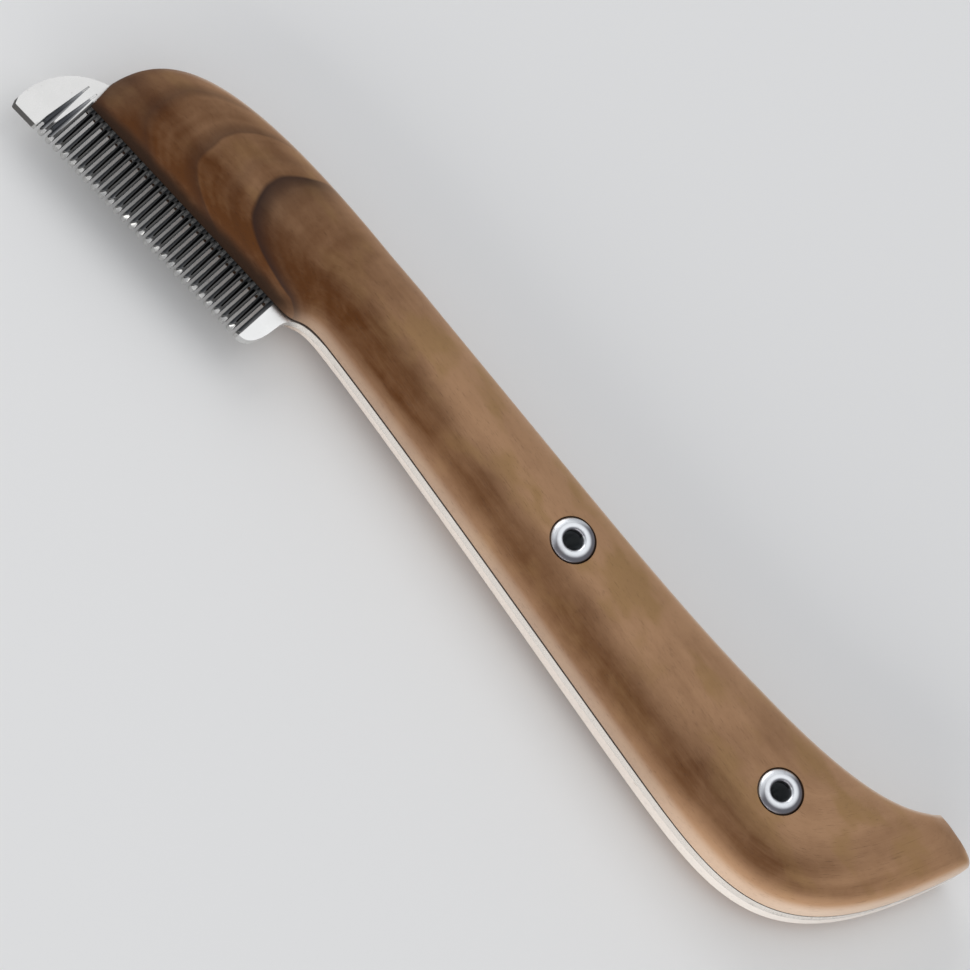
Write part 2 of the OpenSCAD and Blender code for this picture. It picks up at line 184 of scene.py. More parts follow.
class Graph:
    """The node tree of one material."""

    def __init__(self, name: str) -> None:
        """Starts a material with an empty tree.

        Args:
            name: the material's name.
        """
        self.material = bpy.data.materials.new(name)
        self.material.use_nodes = True
        self.tree = self.material.node_tree
        self.tree.nodes.clear()

    def node(
        self,
        kind: str,
        settings: dict[str, object] | None = None,
        inputs: dict[int | str, object] | None = None,
        out: int | str = 0,
    ) -> Sock:
        """Adds a node.

        Args:
            kind: the node's type.
            settings: its own settings; "stops" holds a ramp's positions and values.
            inputs: values or Socks for its input sockets.
            out: the output that is returned.

        Returns:
            The chosen output.
        """
        made = self.tree.nodes.new(kind)
        for key, value in (settings or {}).items():
            if key == "stops":
                self._set_stops(made.color_ramp, value)
            else:
                setattr(made, key, value)
        for key, value in (inputs or {}).items():
            if isinstance(value, Sock):
                self.tree.links.new(value.link, made.inputs[key])
            else:
                made.inputs[key].default_value = value
        return Sock(self, made.outputs[out])

    @staticmethod
    def _set_stops(ramp: bpy.types.ColorRamp, stops: Stops) -> None:
        """Sets a ramp's stops.

        Args:
            ramp: the ramp.
            stops: (position, grey value) pairs.
        """
        while len(ramp.elements) < len(stops):
            ramp.elements.new(1.0)
        for element, (place, value) in zip(ramp.elements, stops):
            element.position = place
            element.color = (value, value, value, 1.0)

    def place(self) -> Sock:
        """Gives the point's place in the object, in metres."""
        return self.node("ShaderNodeTexCoord", out="Object")

    def facing(self) -> Sock:
        """Gives the direction that the surface faces."""
        return self.node("ShaderNodeTexCoord", out="Normal")

    def attribute(self, name: str) -> Sock:
        """Gives a value that the mesh carries at its points."""
        return self.node("ShaderNodeAttribute", {"attribute_name": name}, out="Fac")

    def split(self, vector: Sock) -> tuple[Sock, Sock, Sock]:
        """Splits a vector.

        Args:
            vector: the vector.

        Returns:
            Its three parts.
        """
        first = self.node("ShaderNodeSeparateXYZ", inputs={0: vector})
        outs = first.link.node.outputs
        return first, Sock(self, outs[1]), Sock(self, outs[2])

    def split_mm(self, where: Sock) -> tuple[Sock, Sock, Sock]:
        """Splits a place in metres into its parts in millimetres."""
        x, y, z = self.split(where)
        return x * MM_PER_M, y * MM_PER_M, z * MM_PER_M

    def along(self, x: Sock, stops: Stops) -> Sock:
        """Gives a value that changes with a place.

        Args:
            x: the place.
            stops: (place, value) pairs, with values from 0 to 1.

        Returns:
            The value.
        """
        low, high = stops[0][0], stops[-1][0]
        ramp = [((at - low) / (high - low), value) for at, value in stops]
        return self.node("ShaderNodeValToRGB", {"stops": ramp}, {0: (x - low) / (high - low)})

    def join(self, x: Sock | float, y: Sock | float, z: Sock | float) -> Sock:
        """Makes a vector of three values."""
        return self.node("ShaderNodeCombineXYZ", inputs={0: x, 1: y, 2: z})

    def noise(self, where: Sock, scale: float, detail: float = 3.0, rough: float = 0.5,
              warp: float = 0.0) -> Sock:
        """Adds a noise texture.

        Args:
            where: the coordinates.
            scale: its scale.
            detail: its octaves.
            rough: how strong the finer octaves are.
            warp: its distortion.

        Returns:
            Its value, from about 0.25 to 0.75.
        """
        return self.node(
            "ShaderNodeTexNoise", {},
            {"Vector": where, "Scale": scale, "Detail": detail, "Roughness": rough,
             "Distortion": warp},
        )

    def blend(self, factor: Sock | float, low: Sock | Colour, high: Sock | Colour) -> Sock:
        """Mixes two colours.

        Args:
            factor: how much of the second one shows.
            low: the first colour.
            high: the second colour.

        Returns:
            The mixed colour.
        """
        def colour(value: Sock | Colour) -> object:
            """Adds the alpha to a plain colour."""
            return value if isinstance(value, Sock) else (*value, 1.0)

        return self.node(
            "ShaderNodeMix",
            {"data_type": "RGBA", "clamp_factor": True},
            {0: factor, 6: colour(low), 7: colour(high)}, out=2,
        )

    def coats(self, base: Sock | Colour, *layers: tuple[Sock | float, Sock | Colour]) -> Sock:
        """Lays colours over one another.

        Args:
            base: the colour underneath.
            layers: (how much of it shows, colour) pairs, from the lowest up.

        Returns:
            The mixed colour.
        """
        for factor, colour in layers:
            base = self.blend(factor, base, colour)
        return base

    def bump(self, height: Sock, depth_mm: float, strength: float = 1.0,
             under: Sock | None = None) -> Sock:
        """Adds a bump.

        Args:
            height: the height, from 0 to 1.
            depth_mm: the depth that 1 stands for.
            strength: how much of the bump shows.
            under: a normal that it adds to.

        Returns:
            The normal.
        """
        inputs: dict[int | str, object] = {
            "Strength": strength, "Distance": depth_mm * MM, "Height": height}
        if under is not None:
            inputs["Normal"] = under
        return self.node("ShaderNodeBump", {}, inputs)

    def finish(self, **sockets: object) -> bpy.types.Material:
        """Ends the tree in one Principled shader.

        Args:
            sockets: the shader's values, with "_" for a space in their names.

        Returns:
            The material.
        """
        inputs: dict[int | str, object] = {}
        for key, value in sockets.items():
            plain = value if isinstance(value, (Sock, float, int)) else (*value, 1.0)
            inputs[key.replace("_", " ")] = plain
        shader = self.node("ShaderNodeBsdfPrincipled", {}, inputs)
        end = self.tree.nodes.new("ShaderNodeOutputMaterial")
        self.tree.links.new(shader.link, end.inputs[0])
        return self.material


# ---------------------------------------------------------------- finishes


@dataclass(frozen=True)
class Walnut:
    """Oiled walnut: nested arches at the head, soft long figure down the grip, fine pores."""

    name: str = "oiled_walnut"
    tan: Colour = (0.412, 0.235, 0.126)
    golden: Colour = (0.300, 0.175, 0.062)
    brown: Colour = (0.100, 0.0335, 0.0065)
    late: Colour = (0.026, 0.012, 0.009)
    # Peach and pale colours of the painted light on the low edges and the spine rim
    peach: Colour = (0.60, 0.355, 0.200)
    painted_light: Colour = (0.84, 0.71, 0.59)
    # Colour of the painted shade beside the comb, in the seats and in the seam
    painted_shade: Colour = (0.026, 0.0138, 0.0082)
    # Extra painted light on the low edges
    extra_edge_light: float = 0.0
    seam_h: float = 0.50
    arch_x: float = -52.5
    arch_y: float = -1.4
    arch_drift: float = 0.24
    comb_end: float = -39.0
    mid_z: float = 6.4
    seat_r: float = 3.58
    seed: float = 0.0
    head_span: Span = (-26.0, -42.0)
    grip_span: Span = (-39.0, -32.0)
    butt_span: Span = (40.0, 66.0)
    nose_span: Span = (-77.0, -68.0)
    crown_span: Span = (4.8, 9.8)
    pore_span: Span = (0.62, 0.74)
    seat_mouth: Span = (6.28, 6.14)
    patch_fade: Span = (4.0, 1.2)
    # Painted shade: patches where the shoulder's dark band is deepened
    shade_patches: tuple[tuple[Span, Span, float], ...] = (
        ((51.0, 63.0), (6.0, 8.0), 0.20), ((73.0, 77.0), (2.2, 2.8), 0.34))
    arch_lines: Stops = (
        (-30.0, 0.10), (-26.0, 0.42), (-23.6, 0.08), (-21.2, 0.10), (-19.2, 0.50), (-17.6, 0.06),
        (-12.8, 0.08), (-11.04, 0.40), (-10.16, 0.54), (-9.68, 0.02), (-6.0, 0.03), (-3.8, 0.17),
        (-2.4, 0.04), (-0.64, 0.06), (0.04, 1.00), (1.28, 0.78), (3.0, 0.36), (5.2, 0.14),
        (10.0, 0.0))
    # Tone along the crown: the wood's own tone with painted light
    crown_tone_and_light: Stops = (
        (-82, 0.02), (-68, 0.20), (-60, 0.38), (-46, 0.32), (-37, 0.40), (-28, 0.64),
        (-20, 0.90), (2, 1.0), (26, 1.0), (45, 0.78), (52, 0.74), (60, 0.87), (67, 0.97),
        (74, 0.84), (82, 0.66))
    # Tone along the shoulder: the wood's own tone with painted shade
    shoulder: Stops = (
        (-82, 0.0), (-69, 0.03), (-57, 0.0), (-45, 0.06), (-37, 0.16), (-28, 0.12), (-20, 0.12),
        (-4, 0.34), (5, 0.36), (14, 0.26), (26, 0.22), (34, 0.30), (44, 0.26), (51, 0.36),
        (62, 0.36), (68, 0.28), (71, 0.50), (75, 0.90), (82, 0.88))
    flank: Stops = (
        (-38, 0.19), (-20, 0.22), (-4, 0.34), (26, 0.33), (45, 0.34), (60, 0.34), (72, 0.30),
        (78, 0.20), (84, 0.20))

    def _patch(self, x: Sock, across: Sock, along_span: Span, across_span: Span) -> Sock:
        """Gives a soft-edged patch between two places along the grip and across it.

        Args:
            x: place along the grip.
            across: distance from the underside.
            along_span: start and end of the patch along the grip.
            across_span: start and end of the patch across it.

        Returns:
            The patch, 1 in its middle.
        """
        start, end = along_span
        low, high = across_span
        fade, side_fade = self.patch_fade
        spread = x.ramp(start - fade, start) * x.ramp(end + fade, end)
        return spread * across.ramp(low - side_fade, low) * across.ramp(high + side_fade, high)

    def _arches(self, g: Graph, x: Sock, y: Sock, sway: Sock) -> tuple[Sock, Sock]:
        """Draws the late-wood lines of the nested arches.

        Args:
            g: the graph.
            x: place along the grip.
            y: place across the grip.
            sway: slow wander of the figure.

        Returns:
            How dark the lines are, and the distance through the arches.
        """
        along = x - self.arch_x
        across = y - self.arch_y - along.most(-25.0).least(14.0) * self.arch_drift
        phase = along - abs(across) ** 3.0 * 0.0115 + sway
        return g.along(phase, self.arch_lines), phase

    def make(self) -> bpy.types.Material:
        """Builds the material.

        Returns:
            The material.
        """
        g = Graph(self.name)
        where = g.place()
        x, y, z = g.split_mm(where)
        from_under = g.attribute(FROM_UNDERSIDE)
        from_spine = g.attribute(FROM_SPINE)
        slow = g.noise(g.join(x * 0.05, y * 0.12, z * 0.05 + self.seed), 1.0, 2.0)
        sway = (slow - 0.5) * 3.2
        line, phase = self._arches(g, x, y, sway)
        at_head = x.ramp(*self.head_span)
        # Soft figure that follows the grip
        streak_at = g.join(x * 0.030, from_under * 0.20 + sway * 0.1, z * 0.12 + self.seed)
        streak = g.noise(streak_at, 1.0, 3.0, 0.5, 0.5)
        narrow = g.noise(g.join(x * 0.05, from_under * 0.8 + sway * 0.3, z * 0.5), 1.0, 3.0, 0.55)
        hair = g.noise(g.join(x * 0.22, from_under * 6.0, z * 4.0), 1.0, 3.0, 0.6)
        band = g.noise(g.join(phase * 0.48, from_under * 0.05, self.seed), 1.0, 1.0, 0.5)
        cloud = g.noise(where, 110.0, 4.0, 0.55)
        fleck = g.noise(g.join(x * 0.30, y * 0.55, z * 0.4), 1.0, 3.0, 0.65, 0.4)
        patch = g.noise(g.join(x * 0.11, y * 0.20, z * 0.1 + self.seed + 7.0), 1.0, 2.0, 0.5)
        # Painted light and shade over the wood's own tone: a paler crown, and a browner shoulder
        # beside the underside
        crown = (from_under + sway * 0.8).ramp(*self.crown_span)
        tone = g.along(x, self.crown_tone_and_light) * crown + g.along(x, self.shoulder) * (1 - crown)
        # Painted shade: the listed patches are darkened
        for along_span, across_span, depth in self.shade_patches:
            tone = tone - self._patch(x, from_under, along_span, across_span) * depth
        # Painted light: the spine side of the head is painted lighter
        tone = tone + from_spine.ramp(6.5, 2.0) * x.ramp(-24.0, -40.0) * 0.20
        tone = tone + (streak - 0.5) * 0.5 + (narrow - 0.5) * (0.26 - at_head * 0.20)
        tone = tone + (cloud - 0.5) * (x.ramp(-80.0, -66.0) * 0.4 + 0.22)
        tone = tone + (hair - 0.5) * (0.17 - at_head * 0.10)
        tone = tone + (fleck - 0.5) * 0.26
        tone = tone + (band - 0.5) * (cloud + 0.1) * 0.5 * at_head
        nose = x.ramp(-69.0, -78.0) * from_under.ramp(10.0, 6.0)
        wood = g.coats(
            self.brown, (tone, self.tan), (patch.ramp(0.48, 0.66) * tone * 0.6, self.golden),
            (line * at_head * (0.86 + (cloud - 0.5) * 0.5), self.late), (nose * 0.34, self.late))
        # Painted light: the low edges of the grip and the rim of the spine are painted pale
        on_grip = x.ramp(*self.grip_span)
        near_side = from_under / (g.along(x, self.flank) * 10)
        toward_butt = x.ramp(*self.butt_span)
        edge_light_level = toward_butt * 0.15 + x.ramp(68.0, 76.0) * 0.2 + self.extra_edge_light + 0.24
        off_nose = x.ramp(*self.nose_span)
        wood = g.coats(
            wood, (near_side.ramp(1.0, 0.05) * on_grip * (toward_butt * 0.52 + 0.28), self.peach),
            (from_under.ramp(1.0, 0.0) * on_grip * edge_light_level, self.painted_light),
            (from_spine.ramp(3.6, 0.0) * off_nose * 0.40, self.peach),
            (from_spine.ramp(1.2, 0.0) * off_nose * 0.62, self.painted_light))
        # Painted shade: darker beside the comb, in the rivet seats and in the seam against the
        # plate
        comb_shade = (from_under + (cloud - 0.5) * 1.2).ramp(1.35, 0.15)
        comb_shade = comb_shade * x.ramp(self.comb_end + 4.0, self.comb_end - 1.0)
        reach = self.seam_h * (1 - toward_butt * 0.5) + 0.9
        seam = (abs(z - self.mid_z) - reach).ramp(0.10, -0.08) * from_under.ramp(1.2, 0.8)
        inside = g.attribute(FROM_RIVET).ramp(self.seat_r + 0.06, self.seat_r - 0.04)
        inside = inside * abs(z - self.mid_z).ramp(*self.seat_mouth)
        # Pores: fine short dashes along the grain
        dash = g.noise(g.join(x * 0.9, from_under * 15.0, z * 12.0 + self.seed), 1.0, 2.0, 0.5)
        pore = dash.ramp(*self.pore_span)
        wood = g.coats(wood, (comb_shade * 0.92, self.painted_shade), (seam.most(inside) * 0.92, self.painted_shade),
                       (pore * 0.36, self.late))
        rough = (cloud - 0.5) * 0.18 + pore * 0.2 + (hair - 0.5) * 0.14 + comb_shade * 0.3 + 0.44
        rough = rough + at_head * 0.10
        grain = g.bump(1 - pore, 0.03, 0.6)
        skin = g.bump(hair + narrow * 0.5, 0.02, 0.5, grain)
        return g.finish(Base_Color=wood, Roughness=rough, Normal=skin, IOR=1.24)


@dataclass(frozen=True)
class GroundSteel:
    """Spring steel: satin flats, dull ground flutes, hollows painted black as shade, and bright
    tips.
    """

    name: str = "ground_steel"
    colour: Colour = (0.80, 0.80, 0.785)
    dull: Colour = (0.62, 0.61, 0.59)
    tip: Colour = (0.56, 0.555, 0.54)
    # Flute colours: the closed and deeper flutes are darker as painted shade
    ground: Colour = (0.19, 0.192, 0.195)
    open_ground: Colour = (0.58, 0.585, 0.59)
    deep: Colour = (0.070, 0.075, 0.083)
    scale: Colour = (0.012, 0.0095, 0.008)
    # Painted shade on the crests between the flutes
    ridge_shade: Colour = (0.050, 0.049, 0.047)
    # Painted highlight round the hollows
    lip_highlight: Colour = (0.12, 0.118, 0.113)
    # Painted shade inside the slots
    slot_wall: Colour = (0.27, 0.27, 0.265)
    # Painted shade in the hollows
    hollow_shade: Colour = (0.008, 0.008, 0.009)
    speck: Colour = (0.20, 0.17, 0.14)
    # Tang edge colour: satin steel painted pale and warm as painted light
    satin: Colour = (0.80, 0.755, 0.70)
    face_z: float = 7.3
    thick: float = 1.8
    tang_from: float = 43.5
    tip_span: Span = (0.75, 0.35)
    top_span: Span = (9.2, 8.8)
    tail_span: Span = (2.7, 2.1)
    toe_wall_span: Span = (5.6, 4.2)
    in_slot_span: Span = (0.165, 0.15)
    hollow_down: Span = (0.72, 0.95)
    hollow_band: Span = (0.32, 0.36)
    hollow_phase: float = 0.4655
    lip_w: float = 0.045
    first_slot: Point = (-80.3, -21.98)
    teeth: int = 26
    pitch: float = 1.545
    edge_slope: float = 0.1157
    lean_slope: float = 0.0664
    hollow_side: float = 0.919
    hollow_w: Span = (0.14, 0.40)
    hollow_reach: Span = (1.9, 7.2)
    end_height: Span = (7.65, 6.80)

    def make(self) -> bpy.types.Material:
        """Builds the material.

        Returns:
            The material.
        """
        g = Graph(self.name)
        where = g.place()
        x, y, z = g.split_mm(where)
        x = x - self.first_slot[0]
        # Height above the comb's edge, and place counted in slots along it
        height = y - self.first_slot[1] - x * self.edge_slope
        slot = (x + height * self.lean_slope) / self.pitch
        off = (slot + 0.5).fract() - 0.5
        comb = slot.ramp(-0.5, -0.36) * slot.ramp(self.teeth + 0.62, self.teeth + 0.5)
        comb = comb * height.ramp(*self.top_span)
        closed = slot.ramp(1.5, 1.6)
        tips = height.ramp(*self.tip_span)
        down = self.face_z - z
        below = down.ramp(0.04, 0.10)
        in_slot = abs(off).ramp(*self.in_slot_span) * closed
        facet = below * comb * (1 - in_slot) * (1 - tips)
        low, high = self.hollow_reach
        # Painted shade: the hollows are painted black
        hollow = down.ramp(*self.hollow_down) * comb * (1 - in_slot)
        hollow = hollow * abs((slot - self.hollow_phase).fract() - 0.5).ramp(*self.hollow_band)
        hollow = hollow * height.ramp(low - 0.3, low)
        # Painted highlight: a bright line round each hollow's rim
        half = ((height - low) / (high - low) * (self.hollow_w[1] - self.hollow_w[0])
                + self.hollow_w[0]) / 2
        aside = slot.fract() * self.pitch - self.hollow_side + half
        above = (height - self._hollow_top(slot)).most(0.0)
        lip_highlight = abs((aside * aside + above * above) ** 0.5 - half - self.lip_w).ramp(0.05, 0.03)
        lip_highlight = lip_highlight * closed * comb * height.ramp(low, low + 0.6) * down.ramp(0.85, 0.6)
        side_wall = below * slot.ramp(-0.36, -0.5) * height.ramp(*self.toe_wall_span)
        # Painted shade: the crests between the flutes are coloured nearly black
        crest = (1 - below) * comb * (1 - tips) * closed.most(height.ramp(*self.tail_span))
        crest = crest * slot.ramp(0.3, 0.4)
        # The tang's edge is satin steel, painted pale and warm as painted light
        strip = abs(down - self.thick / 2).ramp(self.thick / 2 - 0.02, self.thick / 2 - 0.12)
        strip = strip * x.ramp(self.tang_from, self.tang_from + 2.0)
        lines = g.noise(g.join(x * 26.0, y * 1.2, z * 1.5), 1.0, 3.0, 0.6)
        cloud = g.noise(where, 240.0, 4.0, 0.6)
        spots = g.noise(where, 1500.0, 2.0, 0.5)
        # Painted shade: the ground flutes of the closed teeth are darker than the open ones, and
        # all darken with depth
        shallow = g.blend(closed, self.open_ground, self.ground)
        ground = g.blend(down.ramp(0.06, 0.60), shallow, self.deep)
        # Painted shade: the slot walls are a dim grey and less metallic
        inside = in_slot * below * comb
        tone = g.coats(
            self.colour, ((cloud - 0.4) * 0.25 + x.ramp(30.0, -4.0) * 0.60, self.dull),
            (spots.ramp(0.69, 0.77) * 0.28, self.speck), (tips * comb * 0.9, self.tip),
            (crest * 0.97, self.ridge_shade), (facet, ground), (inside, self.slot_wall),
            (hollow, self.hollow_shade), (lip_highlight * 0.8, self.lip_highlight), (side_wall * 0.9, self.scale),
            (strip, self.satin))
        rough = (lines - 0.5) * 0.12 + (cloud - 0.5) * 0.14 + facet * 0.12 + hollow * 0.4 + 0.28
        rough = rough + side_wall * 0.4
        normal = g.bump(lines, 0.003, 0.5)
        metal = 1 - facet * 0.5 - hollow * 0.3 - strip * 0.6 - side_wall * 0.9 - inside * 0.8
        return g.finish(Base_Color=tone, Metallic=metal, Roughness=rough, Normal=normal, IOR=1.25)

    def _hollow_top(self, slot: Sock) -> Sock:
        """Gives the height at which a hollow's round end begins."""
        at_toe, at_heel = self.end_height
        return slot * ((at_heel - at_toe) / self.teeth) + at_toe


@dataclass(frozen=True)
class RivetNickel:
    """Nickel-plated rivet metal with turning marks, a crest polished by use and painted bright, and
    painted shade elsewhere.
    """

    name: str = "rivet_nickel"
    bright: Colour = (0.80, 0.82, 0.84)
    # Dark colour of the head's sides, painted shade
    slope_shade: Colour = (0.22, 0.215, 0.235)
    stain: Colour = (0.26, 0.23, 0.22)
    # Direction of the side with painted light
    lit_side: Point = (-0.98, 0.17)
    worn_lit_span: Span = (0.11, 0.0)
    front_crest: float = 13.05
    rear_crest: float = 0.25

    def make(self) -> bpy.types.Material:
        """Builds the material.

        Returns:
            The material.
        """
        g = Graph(self.name)
        where = g.place()
        z = g.split(where)[2] * MM_PER_M
        below_crest = (self.front_crest - z).least(z - self.rear_crest)
        # The crest is polished by use and also carries a painted highlight; the dark colour
        # elsewhere is painted shade
        worn_lit_crest = below_crest.ramp(*self.worn_lit_span)
        cloud = g.noise(where, 420.0, 4.0, 0.6)
        scratch = g.noise(where, 2600.0, 3.0, 0.7, 0.6)
        tarnish = cloud.ramp(0.52, 0.72) * (1 - worn_lit_crest * 0.7)
        # Painted light: the side facing the left lamp, and the walls of the bore, are painted
        # bright
        facing = g.split(g.facing())
        side = facing[0] * self.lit_side[0] + facing[1] * self.lit_side[1]
        painted_light = side.ramp(0.0, 0.24).most(below_crest.ramp(1.0, 1.3))
        tone = g.coats(self.slope_shade, (worn_lit_crest.most(painted_light), self.bright), (tarnish * 0.45, self.stain))
        rough = (cloud - 0.5) * 0.20 + (scratch - 0.5) * 0.22 + 0.36
        normal = g.bump(scratch, 0.006, 0.45)
        return g.finish(Base_Color=tone, Metallic=1.0, Roughness=rough, Normal=normal)


@dataclass(frozen=True)
class PaleFloor:
    """The plain pale tabletop under the knife."""

    name: str = "pale_tabletop"
    colour: Colour = (0.86, 0.86, 0.85)
    mottled: Colour = (0.80, 0.80, 0.79)

    def make(self) -> bpy.types.Material:
        """Builds the material.

        Returns:
            The material.
        """
        g = Graph(self.name)
        mottle = g.noise(g.place(), 9.0, 3.0)
        tone = g.blend((mottle - 0.5) * 0.10, self.colour, self.mottled)
        return g.finish(Base_Color=tone, Roughness=0.75)


# ---------------------------------------------------------------- mesh helpers


def curve_point(p: Sequence[Vector], t: float) -> Vector:
    """Gives a point on a cubic curve.

    Args:
        p: its four control points.
        t: how far along, from 0 to 1.

    Returns:
        The point.
    """
    u = 1 - t
    return u**3 * p[0] + 3 * u * u * t * p[1] + 3 * u * t * t * p[2] + t**3 * p[3]


def mix(a: float, b: float, t: float) -> float:
    """Blends straight from a to b."""
    return a + (b - a) * t


def clamp01(t: float) -> float:
    """Holds a value between 0 and 1."""
    return min(max(t, 0.0), 1.0)


def smooth(t: float) -> float:
    """Rises from 0 to 1, level at both ends."""
    c = clamp01(t)
    return c * c * (3 - 2 * c)


def rounded(t: float) -> float:
    """Rises as a quarter round, steep at 0 and level at 1."""
    return math.sqrt(max(0.0, 1 - (1 - clamp01(t)) ** 2))


def arc(middle: Point, radius: float, turn: float, steps: int) -> list[Point]:
    """Gives points on an arc that starts to the right of its middle.

    Args:
        middle: its middle.
        radius: its radius.
        turn: how far it goes round, in radians.
        steps: how many steps it takes.

    Returns:
        The points, both ends included.
    """
    turns = [turn * k / steps for k in range(steps + 1)]
    return [(middle[0] + radius * math.cos(a), middle[1] + radius * math.sin(a)) for a in turns]


def turned(start: Vector, angle: float) -> Placer:
    """Gives a frame that is turned in plan.

    Args:
        start: its origin.
        angle: the turn in radians.

    Returns:
        A function from (u, v, w) to a point, with w upright.
    """
    c, s = math.cos(angle), math.sin(angle)

    def place(u: float, v: float, w: float) -> Vector:
        """Places a point of the frame."""
        return start + Vector((u * c - v * s, u * s + v * c, w))

    return place


def skin(rings: Sequence[Sequence[Vector]]) -> Solid:
    """Skins a closed solid over a row of rings.

    Args:
        rings: rings with the same number of points.

    Returns:
        Points and faces.
    """
    n, last = len(rings[0]), len(rings) - 1
    faces = [[i * n + j, i * n + (j + 1) % n, (i + 1) * n + (j + 1) % n, (i + 1) * n + j]
             for i in range(last) for j in range(n)]
    faces += [list(range(n - 1, -1, -1)), [last * n + j for j in range(n)]]
    return [p for ring in rings for p in ring], faces


def prism(outline: Sequence[Point], low: float, high: float, place: Placer) -> Solid:
    """Makes a prism over an outline.

    Args:
        outline: its corners, anticlockwise seen from the high side.
        low: the level of its first end.
        high: the level of its second end.
        place: turns (u, v, level) into a point.

    Returns:
        Points and faces.
    """
    return skin([[place(u, v, level) for u, v in outline] for level in (low, high)])


def mesh_object(name: str, solids: Iterable[Solid]) -> bpy.types.Object:
    """Makes one object of several closed solids.

    Args:
        name: the object's name.
        solids: points in millimetres, and faces.

    Returns:
        The object, with its normals outward.
    """
    bm = bmesh.new()
    for points, faces in solids:
        verts = [bm.verts.new(p * MM) for p in points]
        for f in faces:
            bm.faces.new([verts[i] for i in f])
    bmesh.ops.recalc_face_normals(bm, faces=bm.faces)
    mesh = bpy.data.meshes.new(name)
    bm.to_mesh(mesh)
    bm.free()
    made = bpy.data.objects.new(name, mesh)
    bpy.context.scene.collection.objects.link(made)
    return made


def bake_modifiers(thing: bpy.types.Object) -> None:
    """Replaces an object's mesh by what its modifiers make of it.

    Args:
        thing: the object.
    """
    graph = bpy.context.evaluated_depsgraph_get()
    solid = bpy.data.meshes.new_from_object(thing.evaluated_get(graph))
    thing.modifiers.clear()
    thing.data = solid


def cut(thing: bpy.types.Object, *cutters: bpy.types.Object) -> None:
    """Cuts objects out of another, and removes them.

    Args:
        thing: the object that is cut.
        cutters: the objects that are taken away.
    """
    for cutter in cutters:
        change = thing.modifiers.new("cut", "BOOLEAN")
        change.operation = "DIFFERENCE"
        change.solver = "MANIFOLD"
        change.object = cutter
    bake_modifiers(thing)
    for cutter in cutters:
        bpy.data.objects.remove(cutter)


def shade(thing: bpy.types.Object, sharp_above: float) -> None:
    """Shades an object smooth, with its sharp edges kept.

    Args:
        thing: the object.
        sharp_above: the angle in degrees above which an edge stays sharp.
    """
    thing.data.shade_smooth()
    thing.data.set_sharp_from_angle(angle=math.radians(sharp_above))


def measure_from(thing: bpy.types.Object, line: Sequence[Vector], name: str,
                 joined: bool = True) -> None:
    """Stores each point's distance in plan from a line or from single points.

    Args:
        thing: the object.
        line: the points, in millimetres.
        name: the attribute that keeps the distances, in millimetres.
        joined: whether the points are joined into a line.
    """
    parts = 8 if joined else 1
    dense = [a.lerp(b, k / parts) for a, b in zip(line, line[1:]) for k in range(parts)]
    dense.append(line[-1])
    tree = KDTree(len(dense))
    for i, p in enumerate(dense):
        tree.insert((p.x, p.y, 0.0), i)
    tree.balance()
    kept = thing.data.attributes.new(name, "FLOAT", "POINT")
    for i, vert in enumerate(thing.data.vertices):
        kept.data[i].value = tree.find((vert.co.x / MM, vert.co.y / MM, 0.0))[2]


def dress(thing: bpy.types.Object, finish: bpy.types.Material,
          node: str) -> bpy.types.Object:
    """Gives a piece its finish and enters it in the frame.

    Args:
        thing: the piece.
        finish: its material.
        node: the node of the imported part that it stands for.

    Returns:
        The piece.
    """
    thing.data.materials.clear()
    thing.data.materials.append(finish)
    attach(thing, BODY)
    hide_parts(node)
    return thing


# ---------------------------------------------------------------- outlines


@dataclass
class CombLayout:
    """Where the comb's edge, slots and flutes lie, from the toe end of the edge."""

    teeth: int = 26
    pitch: float = 1.538
    len_toe: float = 7.85
    len_heel: float = 7.0
    slot_w: float = 0.44
    lean: float = 3.8
    ridge_w: float = 0.24
    steep_share: float = 0.25
    flute_depth: float = 0.75
    hollow_w: float = 0.47
    hollow_tip_w: float = 0.22
    hollow_depth: float = 1.2
    edge_angle: float = 6.6
    bevel_len: float = 0.65
    bevel_depth: float = 0.5
    toe_flat: float = 4.73
    wood_gap: float = 0.3
    open_flutes: int = 2
    heel_x: float = 44.74
    tail_len: float = 8.0
    tail_start: float = 2.2
    tail_x: float = 0.45
    tail_w: float = 0.22
    tail_depth: float = 0.16
    open_len: float = 1.7
    hollow_start: float = 1.2

    @property
    def steep_w(self) -> float:
        """Ground width on the steep side of a slot."""
        return self.steep_share * (self.pitch - self.ridge_w - self.slot_w)

    @property
    def shallow_w(self) -> float:
        """Ground width on the shallow side of a slot."""
        return self.pitch - self.ridge_w - self.slot_w - self.steep_w

    @property
    def hollow_side(self) -> float:
        """Distance from a slot's middle to the far side of its hollow."""
        return self.slot_w / 2 + self.shallow_w + 0.05

    def slot_x(self, i: float) -> float:
        """Place of a slot's mouth along the edge."""
        return self.toe_flat + self.pitch * i

    def edge_y(self, x: float) -> float:
        """Height of the comb's edge line."""
        return x * math.tan(math.radians(self.edge_angle))

    def slot_end_y(self, x: float) -> float:
        """Height of the line on which the slots end."""
        share = (x - self.slot_x(0)) / (self.slot_x(self.teeth) - self.slot_x(0))
        return self.edge_y(x) + mix(self.len_toe, self.len_heel, share)

    def wood_edge_y(self, x: float) -> float:
        """Height of the wood's edge above the slots."""
        return self.slot_end_y(x) + self.wood_gap


